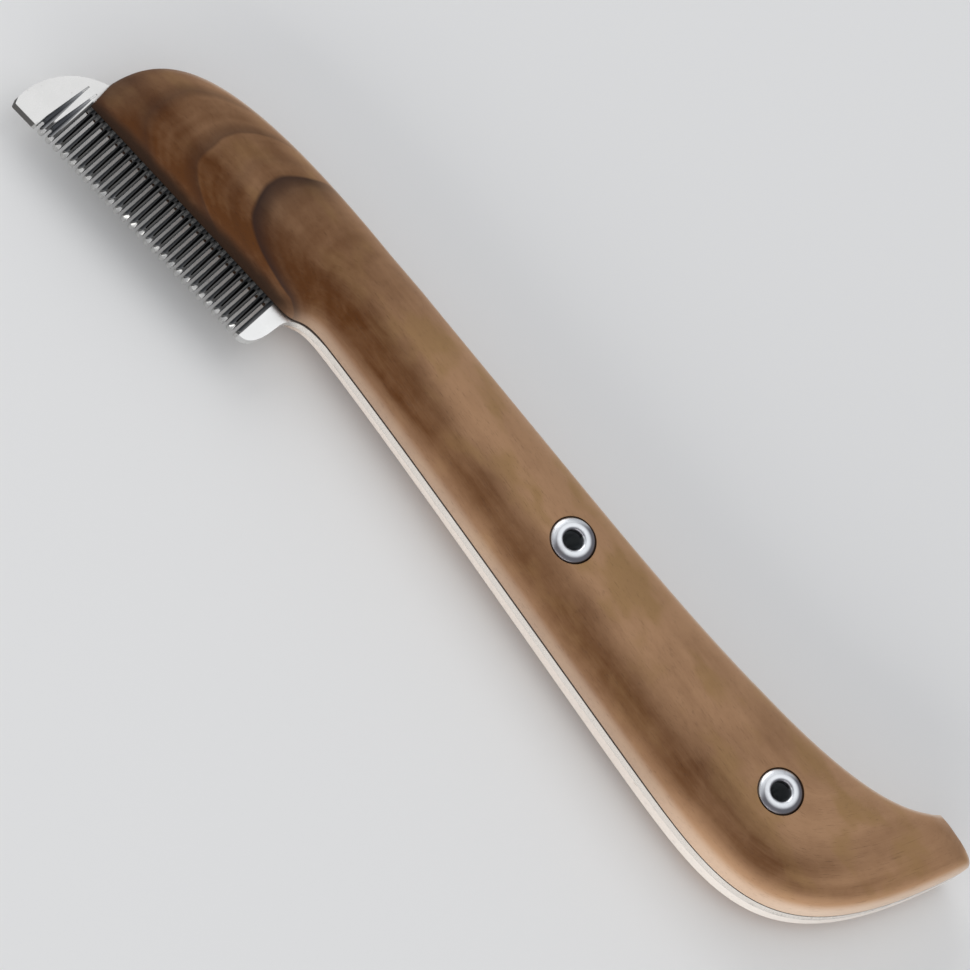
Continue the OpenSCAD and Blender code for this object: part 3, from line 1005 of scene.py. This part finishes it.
@dataclass
class KnifeOutline:
    """Plan of the blade and the handle, in matched points of underside and spine."""

    comb: CombLayout = field(default_factory=CombLayout)
    arc_r: float = 12.1
    arc_rise: float = 2.5
    arc_lead: float = 0.5
    corner: float = 0.5
    corner_cut: Point = (0.12, 0.03)
    slot_lap: float = 0.1
    tip_over: float = 0.07
    toe_steps: int = 60
    tang_steps: int = 40
    nose_steps: int = 32
    tip_steps: int = 14
    heel_w: float = 3.3
    setback: float = 6.7
    front_lean: float = 0.7
    neck_lead: float = 1.8
    neck_len: float = 8.5
    grip_len: float = 123.5
    waist_w: float = 16.4
    shoulder_lead: float = 5.0
    nape: Point = (7.0, 0.3)
    neck_rise: float = 2.2
    belly_drop: float = 3.2
    belly_len: float = 32.0
    spine_rise: float = 3.05
    horn_lead: float = 8.0
    horn_rise: float = 10.65
    butt_w: float = 8.3
    butt_corner_w: float = 1.6
    butt_drop: float = 2.7
    horn_share: float = 0.94
    steps: tuple[int, int, int, int, int] = (72, 24, 96, 72, 16)

    def __post_init__(self) -> None:
        """Works out the turning points and the matched points."""
        comb = self.comb
        self.arc_x = self.arc_r - self.arc_lead
        self.wood_front = self.setback - self.arc_lead
        self.front_y = self.arc_rise + math.sqrt(
            self.arc_r**2 - (self.arc_x - self.wood_front) ** 2)
        self.heel_front = comb.heel_x
        self.heel_back = self.heel_front + self.heel_w
        neck_x = self.heel_back - self.neck_lead
        self.neck = Vector((neck_x, comb.wood_edge_y(neck_x)))
        self.waist = self.neck + Vector((self.neck_len, self.neck_rise))
        shoulder = self.waist + Vector((-self.shoulder_lead, self.waist_w))
        nape = shoulder + Vector(self.nape)
        butt_x = self.neck.x + self.grip_len
        belly = Vector((butt_x - self.belly_len, self.waist.y - self.belly_drop))
        horn_root = Vector((belly.x - self.horn_lead, shoulder.y + self.spine_rise))
        horn = Vector((butt_x - self.butt_w, horn_root.y + self.horn_rise))
        butt = Vector((butt_x, horn.y - self.butt_drop))
        top = Vector((butt_x - self.butt_corner_w, horn.y - 0.3 * self.butt_drop))
        head_root = Vector((self.wood_front, self.front_y))
        self.belly, self.butt = belly, butt

        def bow(a: Vector, b: Vector, f: Point, g: Point) -> list[Vector]:
            """Makes a curve from a to b, leaving by f and arriving by g."""
            step = b - a
            return [a, a + Vector((f[0] * step.x, f[1] * step.y)),
                    b - Vector((g[0] * step.x, g[1] * step.y)), b]

        head, neck, grip, tail, corner = self.steps
        front_x = self.wood_front + self.front_lean
        under: list[Vector] = []
        for i in range(head):
            x = mix(front_x, self.neck.x, (i / head) ** 1.5)
            under.append(Vector((x, comb.wood_edge_y(x))))
        for control, count, eased in (
                (bow(self.neck, self.waist, (0.45, 0.14), (0.76, 0)), neck, False),
                (bow(self.waist, belly, (0.255, 0), (0.12, 0)), grip, False),
                (bow(belly, butt, (0.52, -0.005), (0.16, 0.9)), tail, True)):
            under += self._along(control, count, eased)
        rim = bow(butt, top, (-0.19, 0.74), (0.75, 0.08))
        under += [curve_point(rim, i / corner) for i in range(corner + 1)]
        spine = self._along(bow(head_root, shoulder, (0.02, 0.61), (0.8, 0.03)), head, False)
        spine += [shoulder.lerp(nape, i / neck) for i in range(neck)]
        spine += self._along(bow(nape, horn_root, (0.61, 0.44), (0.22, 0.67)), grip, False)
        horn_curve = bow(horn_root, horn, (0.11, 0.05), (0.165, 0.81))
        spine += [curve_point(horn_curve, self.horn_share * math.sin(math.pi / 2 * i / tail))
                  for i in range(tail)]
        spine += [curve_point(horn_curve, mix(self.horn_share, 1, i / corner))
                  for i in range(corner + 1)]
        self.under, self.spine = under, spine

    @staticmethod
    def _along(control: Sequence[Vector], count: int, eased: bool) -> list[Vector]:
        """Gives points along a curve, without its last one.

        Args:
            control: the curve's four points.
            count: how many points.
            eased: whether they crowd towards its end.

        Returns:
            The points.
        """
        places = [i / count for i in range(count)]
        if eased:
            places = [math.sin(math.pi / 2 * t) for t in places]
        return [curve_point(control, t) for t in places]

    def toe_arc(self, y: float) -> Vector:
        """Gives the point of the blade's front arc at a height."""
        reach = math.sqrt(self.arc_r**2 - (y - self.arc_rise) ** 2)
        return Vector((self.arc_x - reach, y))

    def blade(self) -> list[Vector]:
        """Gives the plate's outline, clockwise from the comb's toe end.

        Returns:
            The outline, with the teeth's rounded tips.
        """
        comb, c = self.comb, self.corner
        toe_end = comb.slot_x(0) - comb.slot_w / 2 + self.slot_lap
        points = [Vector((toe_end, comb.edge_y(toe_end)))]
        points += [Vector((c, comb.edge_y(c))), Vector(self.corner_cut), Vector((0, c / 3))]
        points += [self.toe_arc(mix(2 * c, self.front_y, (i / self.toe_steps) ** 0.8))
                   for i in range(self.toe_steps)]
        points += self.spine
        skip = self.steps[0] + self.steps[1]
        points += self.under[:skip - 1:-1]
        base_x = self.heel_back - 0.8 * self.heel_w
        base = Vector((base_x, comb.edge_y(base_x)))
        top = Vector((self.heel_back, comb.wood_edge_y(self.heel_back) - 0.84 * self.heel_w))
        nose = [base, base + Vector((0.6 * self.heel_w, 0)),
                top - Vector((0, 0.6 * (top.y - base.y))), top]
        tang = [top + Vector((0, 0.3 * self.heel_w)),
                Vector((self.heel_back, self.waist.y - 0.36 * self.neck_rise)),
                self.waist - Vector((0.41 * self.neck_len, 0.08 * self.neck_rise)), self.waist]
        points += [curve_point(tang, 1 - i / self.tang_steps) for i in range(1, self.tang_steps)]
        points += [curve_point(nose, 1 - i / self.nose_steps) for i in range(self.nose_steps + 1)]
        front = comb.slot_x(comb.teeth) + comb.slot_w / 2
        points += [Vector((front + c, comb.edge_y(front + c))),
                   Vector((front + self.corner_cut[0], comb.edge_y(front) + self.slot_lap)),
                   Vector((front, comb.edge_y(front) + c))]
        tip_r = (comb.pitch - comb.slot_w) / 2 + self.tip_over
        line = tip_r / math.cos(math.radians(comb.edge_angle))
        for i in range(comb.teeth - 1, -1, -1):
            x = comb.slot_x(i + 0.5)
            tip = arc((x, comb.edge_y(x) + line), tip_r, -math.pi, self.tip_steps)
            points += [Vector(p) for p in tip]
        return points

    def centre(self) -> Vector:
        """Gives the middle of the plan's box."""
        outline = self.blade()
        xs, ys = [p.x for p in outline], [p.y for p in outline]
        return Vector(((min(xs) + max(xs)) / 2, (min(ys) + max(ys)) / 2))


# ---------------------------------------------------------------- pieces


@dataclass
class Blade:
    """The comb, toe, heel and full tang: one ground steel plate."""

    plan: KnifeOutline
    shift: Vector
    thick: float = 1.8
    level: float = 5.5
    hole_d: float = 4.2
    over: float = 0.5
    flute_over: float = 0.12
    under_wood: float = 0.5
    end_steps: int = 10
    hole_steps: int = 48
    soft_w: float = 0.05
    soft_above: float = 40.0
    sharp_above: float = 24.0

    def _edge_frame(self, i: int, angle: float) -> Placer:
        """Gives a frame on the face at a slot's mouth.

        Args:
            i: the slot's number.
            angle: its turn in plan, in degrees.

        Returns:
            A function from (u, v, level above the face) to a point.
        """
        x = self.plan.comb.slot_x(i)
        mouth = Vector((x, self.plan.comb.edge_y(x), self.level + self.thick))
        return turned(mouth + self.shift, math.radians(angle))

    def _is_open(self, i: int) -> bool:
        """Whether a flute ends in a tail ahead of the wood."""
        return i < self.plan.comb.open_flutes

    def _length(self, i: int) -> float:
        """Length of a slot from the edge to its end line."""
        comb = self.plan.comb
        x = comb.slot_x(i)
        return comb.slot_end_y(x) - comb.edge_y(x)

    def slots(self) -> list[Solid]:
        """Makes the cutters of the open slots."""
        comb = self.plan.comb
        half = comb.slot_w / 2
        made = []
        for i in range(comb.teeth + 1):
            end = comb.open_len if self._is_open(i) else self._length(i)
            ring = [(-half, -self.over), (half, -self.over)]
            ring += arc((0, end), half, math.pi, self.end_steps)
            made.append(prism(ring, -self.thick - self.over, self.over,
                              self._edge_frame(i, comb.lean)))
        return made

    def flutes(self) -> list[Solid]:
        """Makes the cutters of the ground flutes, with the tails of the open ones."""
        comb = self.plan.comb
        half, lift = comb.slot_w / 2, self.flute_over
        rise = 1 + lift / comb.flute_depth
        low = (-half, -comb.flute_depth), (half, -comb.flute_depth)
        high = (half + comb.shallow_w * rise, lift), (-half - comb.steep_w * rise, lift)
        made = []
        for i in range(comb.teeth + 1):
            place = self._edge_frame(i, comb.lean)
            stations = [(-self.over, [*low, *high])]
            if self._is_open(i):
                stations.append((comb.tail_start, [*low, *high]))
                w, x = comb.tail_w / 2, comb.tail_x
                stations.append((comb.tail_start + comb.tail_len,
                                 [(x - w, -comb.tail_depth), (x + w, -comb.tail_depth),
                                  (x + w * 1.6, lift), (x - w * 1.2, lift)]))
            else:
                stations.append((self._length(i) + comb.wood_gap + self.under_wood, [*low, *high]))
            made.append(skin([[place(u, v, w) for u, w in ring] for v, ring in stations]))
        return made

    def hollows(self) -> list[Solid]:
        """Makes the cutters of the hollows in the teeth's roots."""
        comb = self.plan.comb
        side, half = comb.hollow_side, comb.hollow_w / 2
        made = []
        for i in range(comb.teeth):
            if self._is_open(i):
                continue
            ring = [(side - comb.hollow_tip_w, comb.hollow_start), (side, comb.hollow_start)]
            ring += arc((side - half, self._length(i) - half), half, math.pi, self.end_steps)
            made.append(prism(ring, -comb.hollow_depth, self.over,
                              self._edge_frame(i, comb.lean)))
        return made

    def tip_bevel(self) -> Solid:
        """Makes the cutter that bevels the tooth tips."""
        comb = self.plan.comb
        fall, over = comb.bevel_depth / comb.bevel_len, self.over
        place = self._edge_frame(0, comb.edge_angle)
        edge = (comb.slot_x(comb.teeth) - comb.slot_x(0)) / math.cos(math.radians(comb.edge_angle))
        ring = [(comb.bevel_len + over / fall, over), (-over, over),
                (-over, -comb.bevel_depth - over * fall)]
        return prism(ring, 0, edge, lambda v, w, u: place(u, v, w))

    def build(self, rivets: Sequence[Vector]) -> bpy.types.Object:
        """Builds the plate.

        Args:
            rivets: the rivets' places.

        Returns:
            The finished mesh.
        """
        ring = [(p.x, p.y) for p in self.plan.blade()]
        top = self.level + self.thick
        plate = mesh_object("blade_dressed", [prism(ring, self.level, top, turned(self.shift, 0))])
        rims = [arc((at.x, at.y), self.hole_d / 2, 2 * math.pi, self.hole_steps)[:-1]
                for at in rivets]
        holes = [prism(rim, self.level - 1, top + 1, turned(Vector((0, 0, 0)), 0)) for rim in rims]
        cut(plate, mesh_object("slots", self.slots()), mesh_object("flutes", self.flutes()),
            mesh_object("hollows", self.hollows()), mesh_object("bevel", [self.tip_bevel()]),
            mesh_object("holes", holes))
        soften = plate.modifiers.new("soften", "BEVEL")
        soften.width = self.soft_w * MM
        soften.segments = 2
        soften.limit_method = "ANGLE"
        soften.angle_limit = math.radians(self.soft_above)
        bake_modifiers(plate)
        shade(plate, self.sharp_above)
        return plate


@dataclass
class WoodScale:
    """One shaped wooden scale with its rivet seats."""

    plan: KnifeOutline
    shift: Vector
    face: Face
    base: float
    thick: float = 5.5
    head_t: float = 4.3
    front_t: float = 1.2
    waist_wall: float = 0.6
    belly_wall: float = 1.9
    shoulder_w: float = 7.5
    nose_len: float = 16.0
    butt_round: float = 4.5
    ease: float = 0.3
    round_steps: int = 20
    hole_r: float = 2.1
    seat_r: float = 3.58
    lip_w: float = 0.14
    lip_drop: float = 0.12
    lip_over: float = 0.02
    over: float = 1.0
    seat_steps: int = 72
    sharp_above: float = 38.0

    def _wall(self, i: int) -> float:
        """Height of the upright side wall at a station."""
        plan, x = self.plan, self.plan.under[i].x
        if x < plan.waist.x:
            low = min(self.front_t, self.waist_wall)
            return mix(low, self.waist_wall, smooth(x / plan.waist.x))
        return mix(self.waist_wall, self.belly_wall,
                   smooth((x - plan.waist.x) / (plan.belly.x - plan.waist.x)))

    def _mid(self, i: int) -> Vector:
        """Middle between the underside and the spine at a station."""
        return (self.plan.under[i] + self.plan.spine[i]) / 2

    def _crown(self, i: int) -> float:
        """Height of the crown at a station."""
        start = self._mid(0).x
        x = self._mid(i).x - start
        nose = mix(self.front_t, self.head_t, rounded(x / self.nose_len))
        body = mix(nose, self.thick,
                   smooth((x - self.nose_len) / (self.plan.waist.x - start - self.nose_len)))
        to_butt = (self._mid(i) - self._mid(len(self.plan.under) - 1)).length
        return mix(self._wall(i), body, rounded(to_butt / self.butt_round))

    def _section(self, i: int) -> list[Vector]:
        """Gives one section, from the underside's foot round to the spine's foot."""
        a, b = self.plan.under[i], self.plan.spine[i]
        width = (b - a).length
        n = (b - a) / width
        reach = min(self.shoulder_w, 0.42 * width)
        low, top, k_max, e = self._wall(i), self._crown(i), self.round_steps, self.ease
        half = []
        for k in range(k_max + 1):
            t = 1 - math.cos(math.pi / 2 * k / k_max)
            half.append((reach * t, mix(low, top, rounded(t))))
        foot = [(e, 0.0), (e * 0.29, e * 0.29), (0.0, e)]
        climb = [(0.0, mix(e, low, s)) for s in (0.35, 0.7)]
        side = foot + climb + half
        ring = [Vector((a.x + n.x * d, a.y + n.y * d, h)) for d, h in side]
        flat = [(mix(reach, width - reach, s)) for s in (0.25, 0.5, 0.75)]
        ring += [Vector((a.x + n.x * d, a.y + n.y * d, top)) for d in flat]
        ring += [Vector((b.x - n.x * d, b.y - n.y * d, h)) for d, h in reversed(side)]
        return ring

    def build(self, name: str, rivets: Sequence[Vector], seat_depth: float) -> bpy.types.Object:
        """Builds the scale.

        Args:
            name: the piece's name.
            rivets: the rivets' places.
            seat_depth: how deep the heads' seats lie below the crown.

        Returns:
            The finished mesh.
        """
        side = self.face.value
        rings = [[Vector((p.x, p.y, self.base + side * p.z)) + self.shift
                  for p in self._section(i)] for i in range(len(self.plan.under))]
        scale = mesh_object(name, [skin(rings)])
        top, rim_r = self.thick, self.seat_r + self.lip_w
        floor = top - seat_depth
        profile = [(0.0, -self.over), (self.hole_r, -self.over), (self.hole_r, floor),
                   (self.seat_r, floor), (self.seat_r, top - self.lip_drop),
                   (rim_r, top + self.lip_over), (rim_r, top + self.over), (0.0, top + self.over)]
        cutters = [lathe(profile, at, lambda h: self.base + side * h, self.seat_steps)
                   for at in rivets]
        cut(scale, mesh_object("seats", cutters))
        shade(scale, self.sharp_above)
        plan_shift = self.shift.to_2d()
        measure_from(scale, [p + plan_shift for p in self.plan.under], FROM_UNDERSIDE)
        measure_from(scale, [p + plan_shift for p in self.plan.spine], FROM_SPINE)
        measure_from(scale, rivets, FROM_RIVET, joined=False)
        return scale


def lathe(profile: Sequence[Point], at: Vector, level: Callable[[float], float],
          around: int) -> Solid:
    """Turns a profile around an upright axis.

    Args:
        profile: (radius, height) points; a radius of 0 closes an end.
        at: the axis.
        level: turns a height into a level.
        around: how many steps the turn takes.

    Returns:
        Points and faces.
    """
    points: list[Vector] = []
    rings: list[list[int]] = []
    for r, h in profile:
        count = around if r > 0 else 1
        rings.append(list(range(len(points), len(points) + count)))
        for k in range(count):
            a = 2 * math.pi * k / around
            points.append(Vector((at.x + r * math.cos(a), at.y + r * math.sin(a), level(h))))
    closed = profile[0][0] > 0
    faces: list[list[int]] = []
    pairs = list(zip(rings, rings[1:])) + ([(rings[-1], rings[0])] if closed else [])
    for low, high in pairs:
        for k in range(around):
            m = (k + 1) % around
            if len(low) == 1:
                faces.append([low[0], high[m], high[k]])
            elif len(high) == 1:
                faces.append([low[k], low[m], high[0]])
            else:
                faces.append([low[k], low[m], high[m], high[k]])
    return points, faces


@dataclass
class HollowRivet:
    """A hollow rivet with a domed head at each end."""

    bore_r: float = 1.5
    wall: float = 0.5
    head_r: float = 3.5
    head_h: float = 1.35
    rim_h: float = 0.45
    fullness: float = 0.9
    ease: float = 0.08
    rim_ease: float = 0.06
    dome_steps: int = 16
    lip_steps: int = 10
    around: int = 96
    sharp_above: float = 50.0

    def build(self, name: str, at: Vector, bottom: float, top: float) -> bpy.types.Object:
        """Builds the rivet.

        Args:
            name: the piece's name.
            at: its axis.
            bottom: the level of the rear head's seat.
            top: the level of the front head's seat.

        Returns:
            The finished mesh.
        """
        crest = self.bore_r + self.wall
        dome_w, dome_h = self.head_r - crest, self.head_h - self.rim_h
        end = [(crest, 0.0), (self.head_r - self.ease, 0.0), (self.head_r, self.ease),
               (self.head_r, self.rim_h - self.rim_ease)]
        for k in range(self.dome_steps + 1):
            a = math.radians(90 * k / self.dome_steps)
            end.append((crest + dome_w * math.cos(a) ** self.fullness,
                        self.rim_h + dome_h * math.sin(a) ** self.fullness))
        for k in range(1, self.lip_steps + 1):
            a = math.radians(90 * k / self.lip_steps)
            end.append((self.bore_r + self.wall * (1 - math.sin(a)),
                        self.head_h - self.wall * (1 - math.cos(a))))
        profile = [(r, top + h) for r, h in end]
        profile += [(r, bottom - h) for r, h in reversed(end)]
        rivet = mesh_object(name, [lathe(profile, at, lambda h: h, self.around)])
        shade(rivet, self.sharp_above)
        return rivet


@dataclass
class Knife:
    """The whole knife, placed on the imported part."""

    plan: KnifeOutline = field(default_factory=KnifeOutline)
    scale_t: float = 5.5
    front_proud: float = 0.25
    rear_sunk: float = 0.25
    rivet: HollowRivet = field(default_factory=HollowRivet)

    def __post_init__(self) -> None:
        """Finds the knife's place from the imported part."""
        low, high = (Vector(v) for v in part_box("blade"))
        middle = (low + high) / 2 / MM
        centre = self.plan.centre()
        self.shift = Vector((middle.x - centre.x, middle.y - centre.y, 0))
        self.tang_back = low.z / MM
        self.tang_front = high.z / MM

    def rivet_axis(self, node: str) -> Vector:
        """Gives a rivet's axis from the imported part."""
        low, high = (Vector(v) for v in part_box(node))
        return (low + high) / 2 / MM

    def build(self) -> list[bpy.types.Object]:
        """Builds and dresses every piece.

        Returns:
            The pieces.
        """
        wood_front = Walnut().make()
        # The rear scale's low edges get more painted light, in a paler colour
        wood_rear = Walnut(name="oiled_walnut_rear", seed=23.0, extra_edge_light=0.60, seam_h=0.08,
                           painted_light=(0.82, 0.76, 0.70)).make()
        comb = self.plan.comb
        steel = GroundSteel(
            first_slot=(comb.slot_x(0) + self.shift.x, comb.edge_y(comb.slot_x(0)) + self.shift.y),
            face_z=self.tang_front, thick=self.tang_front - self.tang_back,
            teeth=comb.teeth, pitch=comb.pitch,
            edge_slope=math.tan(math.radians(comb.edge_angle)),
            lean_slope=math.tan(math.radians(comb.lean)), hollow_side=comb.hollow_side,
            hollow_w=(comb.hollow_tip_w, comb.hollow_w),
            hollow_reach=(comb.hollow_start, comb.len_heel),
            end_height=(comb.len_toe - comb.hollow_w / 2, comb.len_heel - comb.hollow_w / 2)).make()
        nickel = RivetNickel().make()
        axes = {name: self.rivet_axis(name) for name in ("upper_rivet", "lower_rivet")}
        places = list(axes.values())
        front_seat = self.rivet.head_h - self.front_proud
        rear_seat = self.rivet.head_h + self.rear_sunk
        pieces = [
            dress(Blade(self.plan, self.shift).build(places), steel, "blade"),
            dress(WoodScale(self.plan, self.shift, Face.FRONT, self.tang_front).build(
                "front_scale_dressed", places, front_seat), wood_front, "front_scale"),
            dress(WoodScale(self.plan, self.shift, Face.REAR, self.tang_back).build(
                "rear_scale_dressed", places, rear_seat), wood_rear, "rear_scale"),
        ]
        bottom = self.tang_back - self.scale_t + rear_seat
        top = self.tang_front + self.scale_t - front_seat
        for node, at in axes.items():
            made = self.rivet.build(node + "_dressed", at, bottom, top)
            pieces.append(dress(made, nickel, node))
        return pieces


# ---------------------------------------------------------------- studio


@dataclass
class Studio:
    """Floor, lamps and camera."""

    tilt: float = 65.0
    roll: float = 52.0
    distance: float = 2.6
    seen_width: float = 0.13857
    floor_half: float = 3.0
    floor_cuts: int = 4
    room_colour: Colour = (0.93, 0.95, 1.0)
    room_level: float = 0.5
    aim: tuple[float, float, float] = (-0.00064, -0.00085, 0.0064)

    def camera(self) -> None:
        """Places the camera on the teeth's side, high up, with the grip running downhill."""
        tilt, roll = math.radians(90 - self.tilt), math.radians(self.roll)
        along = Vector((1, 0, 0))
        across = Vector((0, math.cos(tilt), math.sin(tilt)))
        towards = along.cross(across)
        right = math.cos(roll) * along + math.sin(roll) * across
        up = -math.sin(roll) * along + math.cos(roll) * across
        lens = bpy.data.cameras.new("camera")
        lens.sensor_width = 36.0
        lens.lens = lens.sensor_width * self.distance / self.seen_width
        lens.clip_end = 20.0
        holder = bpy.data.objects.new("camera", lens)
        bpy.context.scene.collection.objects.link(holder)
        frame_at = Vector(self.aim) + towards * self.distance
        holder.matrix_world = Matrix((
            (right.x, up.x, towards.x, frame_at.x), (right.y, up.y, towards.y, frame_at.y),
            (right.z, up.z, towards.z, frame_at.z), (0, 0, 0, 1)))
        bpy.context.scene.camera = holder

    def lamp(self, name: str, azimuth: float, height: float, reach: float,
             size: tuple[float, float], level: float,
             tint: Colour = (1, 1, 1)) -> None:
        """Hangs one soft box that faces the knife.

        Args:
            name: the lamp's name.
            azimuth: its bearing from +X towards +Y, in degrees.
            height: its elevation, in degrees.
            reach: its distance, in metres.
            size: its width and height, in metres.
            level: the brightness of its face.
            tint: its colour.
        """
        light = bpy.data.lights.new(name, "AREA")
        light.shape = "RECTANGLE"
        light.size, light.size_y = size
        light.energy, light.color = level * math.pi * size[0] * size[1], tint
        holder = bpy.data.objects.new(name, light)
        a, e = math.radians(azimuth), math.radians(height)
        away = Vector((math.cos(e) * math.cos(a), math.cos(e) * math.sin(a), math.sin(e)))
        holder.location = Vector(self.aim) + away * reach
        holder.rotation_euler = away.to_track_quat("Z", "Y").to_euler()
        bpy.context.scene.collection.objects.link(holder)

    def floor(self) -> None:
        """Lays the pale tabletop that the knife lies on."""
        half = self.floor_half
        bm = bmesh.new()
        corners = [bm.verts.new((x, y, 0)) for x, y in
                   ((-half, -half), (half, -half), (half, half), (-half, half))]
        bm.faces.new(corners)
        bmesh.ops.subdivide_edges(bm, edges=bm.edges, cuts=self.floor_cuts,
                                  use_grid_fill=True)
        mesh = bpy.data.meshes.new("tabletop")
        bm.to_mesh(mesh)
        bm.free()
        mesh.materials.append(PaleFloor().make())
        top = bpy.data.objects.new("tabletop", mesh)
        bpy.context.scene.collection.objects.link(top)

    def world(self) -> None:
        """Gives the room its even pale light."""
        world = bpy.data.worlds.new("room")
        world.use_nodes = True
        back = world.node_tree.nodes["Background"]
        back.inputs[0].default_value = (*self.room_colour, 1.0)
        back.inputs[1].default_value = self.room_level
        bpy.context.scene.world = world

    def build(self) -> None:
        """Sets the whole studio up."""
        self.camera()
        self.floor()
        self.world()
        self.lamp("overhead", azimuth=90.0, height=65.0, reach=1.2, size=(0.9, 0.9), level=0.66)
        self.lamp("left", azimuth=158.0, height=30.0, reach=1.1, size=(0.75, 0.75), level=1.9)
        self.lamp("low_front", azimuth=286.0, height=15.0, reach=1.0, size=(1.7, 0.55), level=2.5,
                  tint=(1.0, 0.985, 0.96))
        bpy.context.scene.view_settings.view_transform = "Standard"


def main() -> None:
    """Builds the knife and its studio, and reports each piece."""
    logging.basicConfig(level=logging.INFO, format="%(name)s: %(message)s")
    Studio().build()
    for piece in Knife().build():
        LOG.info("%s: %d faces", piece.name, len(piece.data.polygons))


if __name__ == "__main__":
    main()
